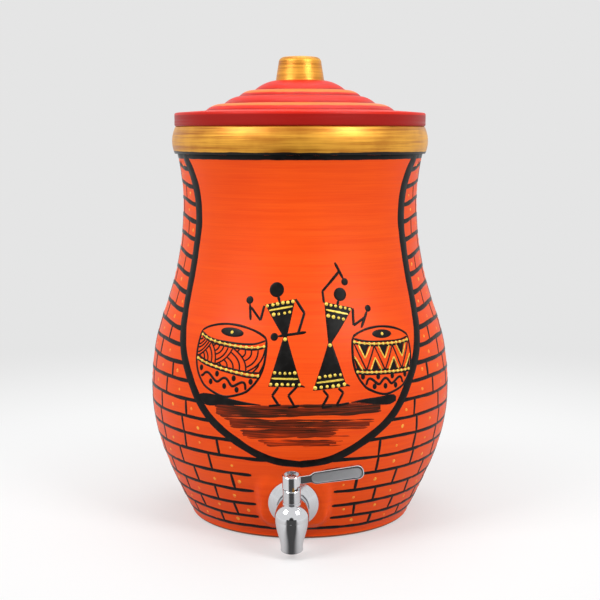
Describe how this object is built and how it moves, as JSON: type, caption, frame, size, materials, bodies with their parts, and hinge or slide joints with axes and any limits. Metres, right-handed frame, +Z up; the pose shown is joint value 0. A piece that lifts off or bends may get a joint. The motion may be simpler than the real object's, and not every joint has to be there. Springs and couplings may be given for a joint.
{
  "type": "clay water pot with tap",
  "caption": "Painted clay water pot with a lift-off stepped lid and a metal quarter-turn lever tap clamped through its wall near the base.",
  "frame": {"origin": "axis of the pot on the plane that it stands on", "axes": "+Z up along the axis of the pot, the tap points along -Y, +X to the right of someone facing the tap"},
  "size_m": [0.2764, 0.3005, 0.421],
  "materials": {
    "painted_clay": "hand-painted, satin, with a gold collar band",
    "lid_clay": "hand-painted red with orange grooves and a gold knob",
    "chromed_brass": "polished",
    "turned_brass": "machined",
    "steel": "zinc plated",
    "rubber": "matt",
    "sealing_plastic": "matt",
    "dark_plastic": "matt"
  },
  "bodies": {
    "pot": {"pot_body": "painted_clay", "tap_body": "chromed_brass", "threaded_shank": "turned_brass", "wall_flange": "chromed_brass", "outer_gasket": "rubber", "inner_gasket": "rubber", "back_washer": "steel", "back_nut": "chromed_brass", "bonnet": "chromed_brass", "seat_ring": "sealing_plastic", "stop_pin": "turned_brass"},
    "lid_piece": {"lid": "lid_clay"},
    "valve": {"valve_plug": "turned_brass", "plug_o_rings": "rubber", "lever_handle": "chromed_brass", "handle_screw": "steel", "friction_washer": "dark_plastic"}
  },
  "joints": [
    {"name": "lid_lift", "type": "slide", "parent": "pot", "child": "lid_piece", "axis": [0, 0, 1], "range_m": [0, 0.15]},
    {"name": "tap_lever", "type": "hinge", "parent": "pot", "child": "valve", "pos_m": [0, -0.14656, 0.03462], "axis": [0, 0.1908, -0.9816], "range_deg": [0, 90]}
  ]
}
